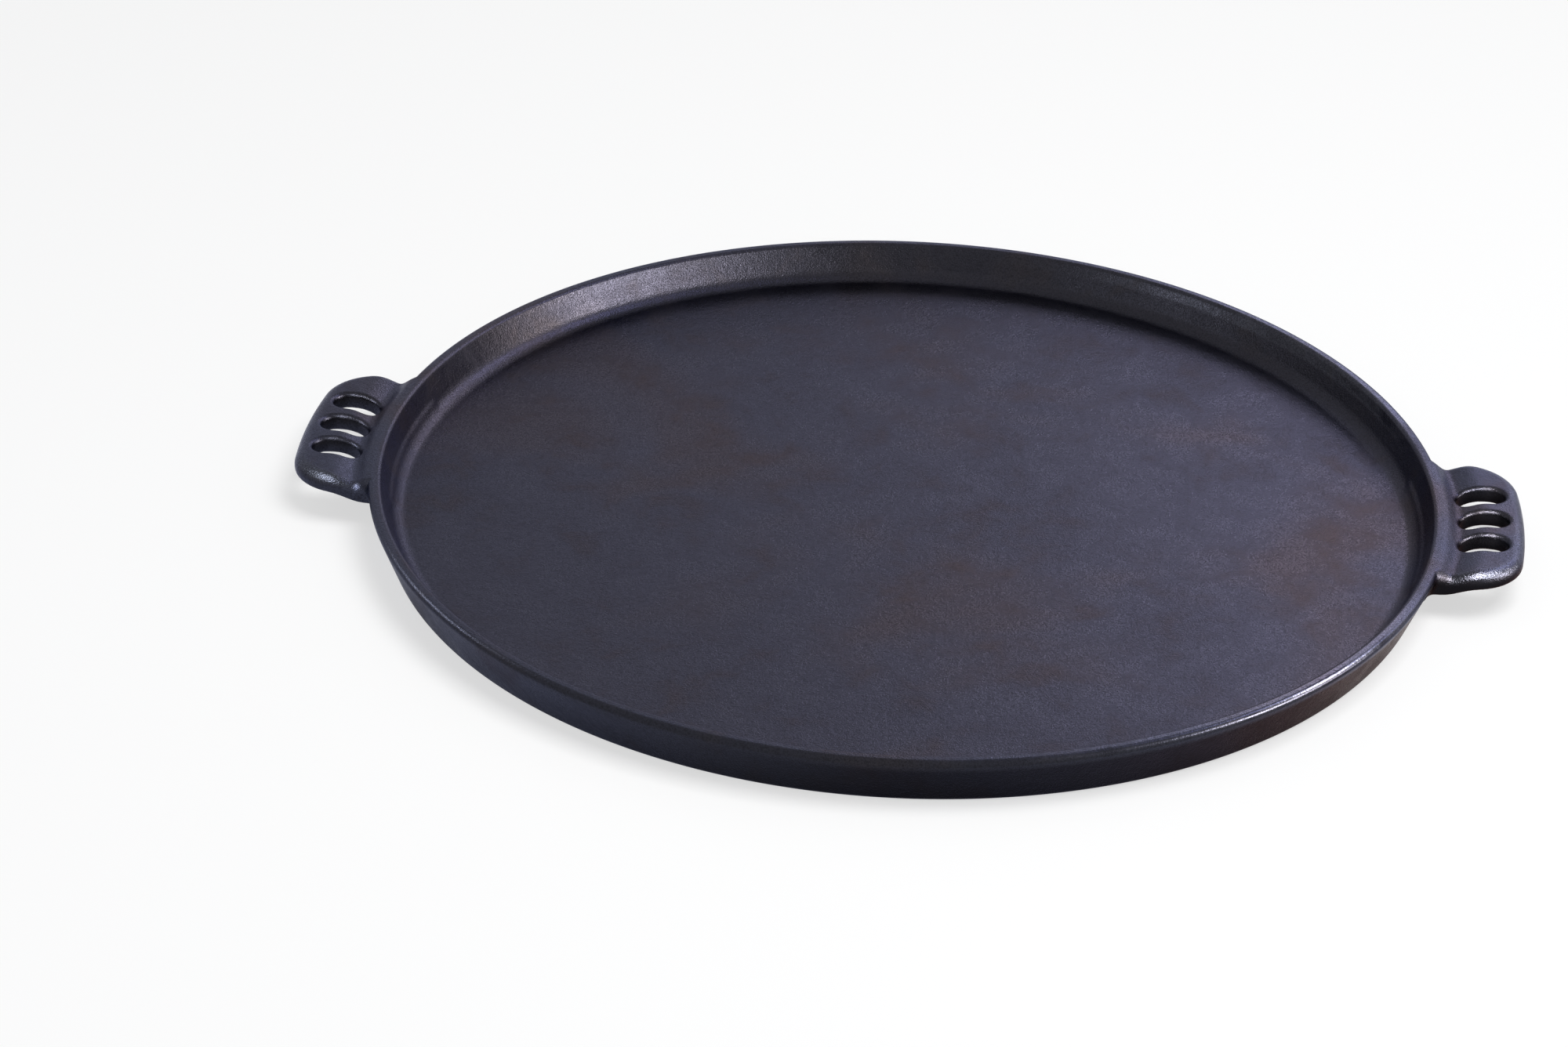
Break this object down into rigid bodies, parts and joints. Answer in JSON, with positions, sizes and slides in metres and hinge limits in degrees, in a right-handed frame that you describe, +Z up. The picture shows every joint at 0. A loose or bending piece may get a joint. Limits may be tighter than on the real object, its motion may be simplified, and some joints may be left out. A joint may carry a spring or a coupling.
{
  "type": "cast iron pizza pan",
  "caption": "Round, low-walled cast iron pizza pan with a flat baking floor, a rounded rim and slotted tab handles on opposite sides for lifting it out of an oven.",
  "frame": {"origin": "centre of the flat underside, on the surface that the pan stands on", "axes": "+X through the middle of the right handle, +Y across the pan away from a cook facing it, +Z up"},
  "size_m": [0.4114, 0.36, 0.0175],
  "materials": {
    "seasoned_iron": "oil-seasoned sand casting, satin blue-black"
  },
  "bodies": {
    "root": {"pan_floor": "seasoned_iron", "rim_wall": "seasoned_iron", "left_handle": "seasoned_iron", "right_handle": "seasoned_iron"}
  },
  "joints": []
}
